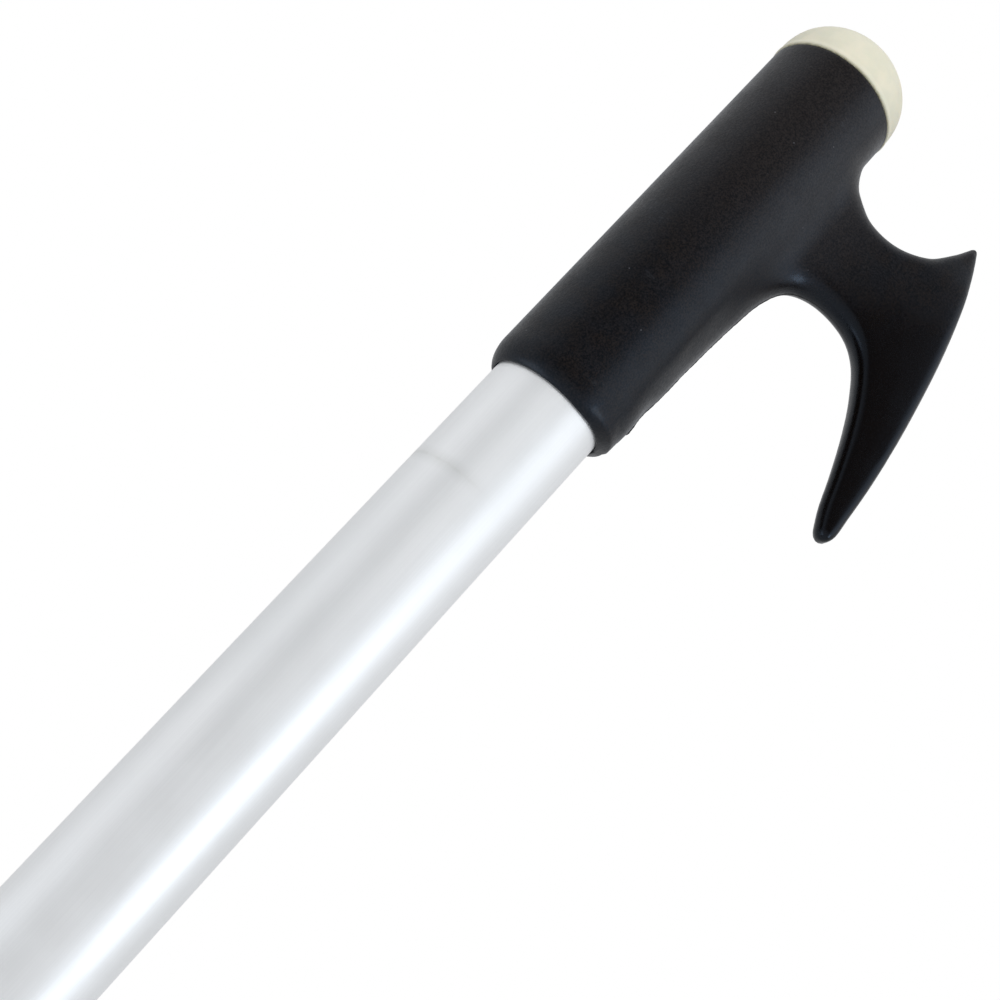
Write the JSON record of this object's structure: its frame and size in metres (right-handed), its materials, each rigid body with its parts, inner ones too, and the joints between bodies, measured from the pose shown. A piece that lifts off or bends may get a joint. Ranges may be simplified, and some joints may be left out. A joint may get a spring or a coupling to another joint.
{
  "type": "boat hook",
  "caption": "Telescopic boat hook: satin aluminium pole with a twist clamp, rubber grip and lanyard hole, and a moulded head with a barbed hook, a push notch and a domed nose plug.",
  "frame": {"origin": "centre of the butt end cap's flat face, on the pole's axis", "axes": "+Z along the pole from the butt to the nose, +X from the axis towards the hook's barb, and the hook's middle plane is Y = 0"},
  "size_m": [0.0806, 0.041, 0.9448],
  "materials": {
    "tube_aluminium": "satin",
    "head_plastic": "satin",
    "ivory_plastic": "satin",
    "black_plastic": "satin",
    "grip_rubber": "matte",
    "nylon": "satin",
    "seal_rubber": "matte",
    "rivet_aluminium": "satin",
    "screw_steel": "satin",
    "float_foam": "matte"
  },
  "bodies": {
    "handle": {"end_cap": "black_plastic", "end_cap_seal": "seal_rubber", "end_cap_rivets": "rivet_aluminium", "outer_tube": "tube_aluminium", "grip_sleeve": "grip_rubber", "clamp_base": "black_plastic", "clamp_rivets": "rivet_aluminium", "collet": "nylon"},
    "nut": {"lock_nut": "black_plastic", "thrust_washer": "nylon"},
    "pole": {"inner_tube": "tube_aluminium", "guide_bush": "nylon", "bush_pins": "rivet_aluminium", "lower_bung": "nylon", "bung_seal": "seal_rubber", "float_core": "float_foam", "upper_bung": "nylon", "hook_head": "head_plastic", "head_screw": "screw_steel", "nose_plug": "ivory_plastic"}
  },
  "joints": [
    {"name": "extension", "type": "slide", "parent": "handle", "child": "pole", "axis": [0, 0, 1], "range_m": [-0.226, 0.24]},
    {"name": "clamp_turn", "type": "hinge", "parent": "handle", "child": "nut", "pos_m": [0, 0, 0.58], "axis": [0, 0, 1], "range_deg": [0, 120]}
  ]
}
